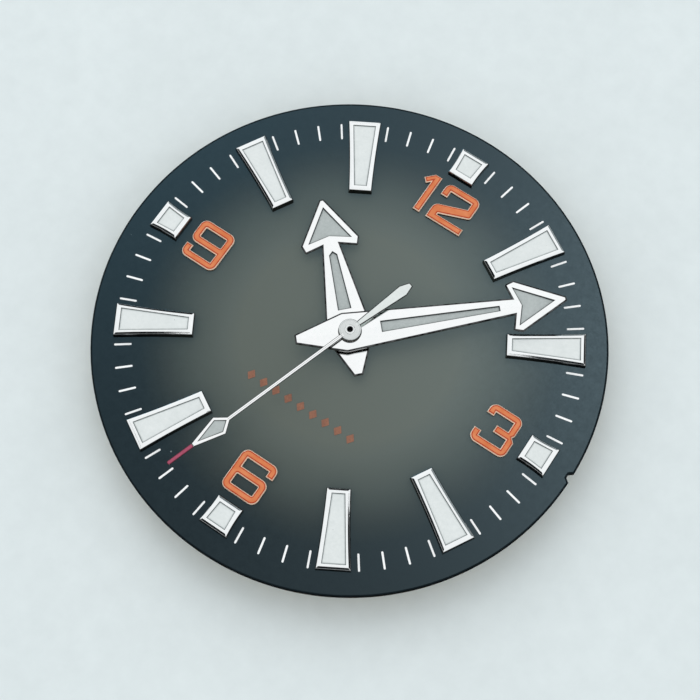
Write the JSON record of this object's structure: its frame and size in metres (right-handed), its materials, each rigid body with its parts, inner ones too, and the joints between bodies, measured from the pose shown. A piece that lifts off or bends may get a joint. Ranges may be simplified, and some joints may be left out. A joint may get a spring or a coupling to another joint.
{
  "type": "watch dial with hands",
  "caption": "Round watch dial with applied hour markers, raised numerals, a printed minute track and three turning hands on captive arbors.",
  "frame": {"origin": "centre of the dial plate's back face, on the axis of its centre hole", "axes": "+Z out of the dial's face towards the viewer, +Y towards 12 o'clock, +X towards 3 o'clock"},
  "size_m": [0.0285, 0.0284, 0.0037],
  "materials": {
    "dial_lacquer": "satin lacquer, grey at the centre to blue-black at the rim",
    "foot_copper": "turned, plain",
    "marker_chrome": "polished",
    "marker_fill": "matt, pale grey-white",
    "numeral_metal": "polished edge",
    "numeral_lacquer": "orange lacquer, satin gloss",
    "white_print": "printed ink, white",
    "copper_print": "printed ink, copper",
    "hand_steel": "polished",
    "hand_fill": "matt, mid grey",
    "tip_lacquer": "red lacquer",
    "hub_steel": "turned, bright",
    "hand_collet": "nickel-plated",
    "wheel_brass": "gilt",
    "washer_brass": "bright",
    "pinion_steel": "polished"
  },
  "bodies": {
    "dial": {"dial_plate": "dial_lacquer", "dial_foot_1": "foot_copper", "dial_foot_2": "foot_copper", "index_frame_01": "marker_chrome", "index_frame_02": "marker_chrome", "index_frame_03": "marker_chrome", "index_frame_04": "marker_chrome", "index_frame_05": "marker_chrome", "index_frame_06": "marker_chrome", "index_frame_07": "marker_chrome", "index_frame_08": "marker_chrome", "index_frame_09": "marker_chrome", "index_frame_10": "marker_chrome", "index_frame_11": "marker_chrome", "index_frame_12": "marker_chrome", "index_fill_01": "marker_fill", "index_fill_02": "marker_fill", "index_fill_03": "marker_fill", "index_fill_04": "marker_fill", "index_fill_05": "marker_fill", "index_fill_06": "marker_fill", "index_fill_07": "marker_fill", "index_fill_08": "marker_fill", "index_fill_09": "marker_fill", "index_fill_10": "marker_fill", "index_fill_11": "marker_fill", "index_fill_12": "marker_fill", "numeral_one": "numeral_metal", "numeral_two": "numeral_metal", "numeral_three": "numeral_metal", "numeral_six": "numeral_metal", "numeral_nine": "numeral_metal", "numeral_one_lacquer": "numeral_lacquer", "numeral_two_lacquer": "numeral_lacquer", "numeral_three_lacquer": "numeral_lacquer", "numeral_six_lacquer": "numeral_lacquer", "numeral_nine_lacquer": "numeral_lacquer", "minute_track": "white_print", "printed_lozenges": "copper_print"},
    "hour_hand_set": {"hour_hand": "hand_steel", "hour_hand_fill": "hand_fill", "hour_hand_collet": "hand_collet", "hour_wheel": "wheel_brass", "dial_washer": "washer_brass"},
    "minute_hand_set": {"minute_hand": "hand_steel", "minute_hand_fill": "hand_fill", "minute_hand_collet": "hand_collet", "cannon_pinion": "pinion_steel"},
    "seconds_hand_set": {"seconds_hand": "hand_steel", "seconds_hand_fill": "hand_fill", "seconds_hand_tip": "tip_lacquer", "seconds_hand_tube": "hub_steel", "seconds_arbor": "pinion_steel"}
  },
  "joints": [
    {"name": "hour_turn", "type": "hinge", "parent": "dial", "child": "hour_hand_set", "pos_m": [0, 0, 0], "axis": [0, 0, -1], "continuous": true},
    {"name": "minute_turn", "type": "hinge", "parent": "dial", "child": "minute_hand_set", "pos_m": [0, 0, 0], "axis": [0, 0, -1], "continuous": true},
    {"name": "seconds_turn", "type": "hinge", "parent": "dial", "child": "seconds_hand_set", "pos_m": [0, 0, 0], "axis": [0, 0, -1], "continuous": true}
  ],
  "couplings": [
    {"joint": "hour_turn", "follows": "minute_turn", "ratio": 0.083333}
  ]
}
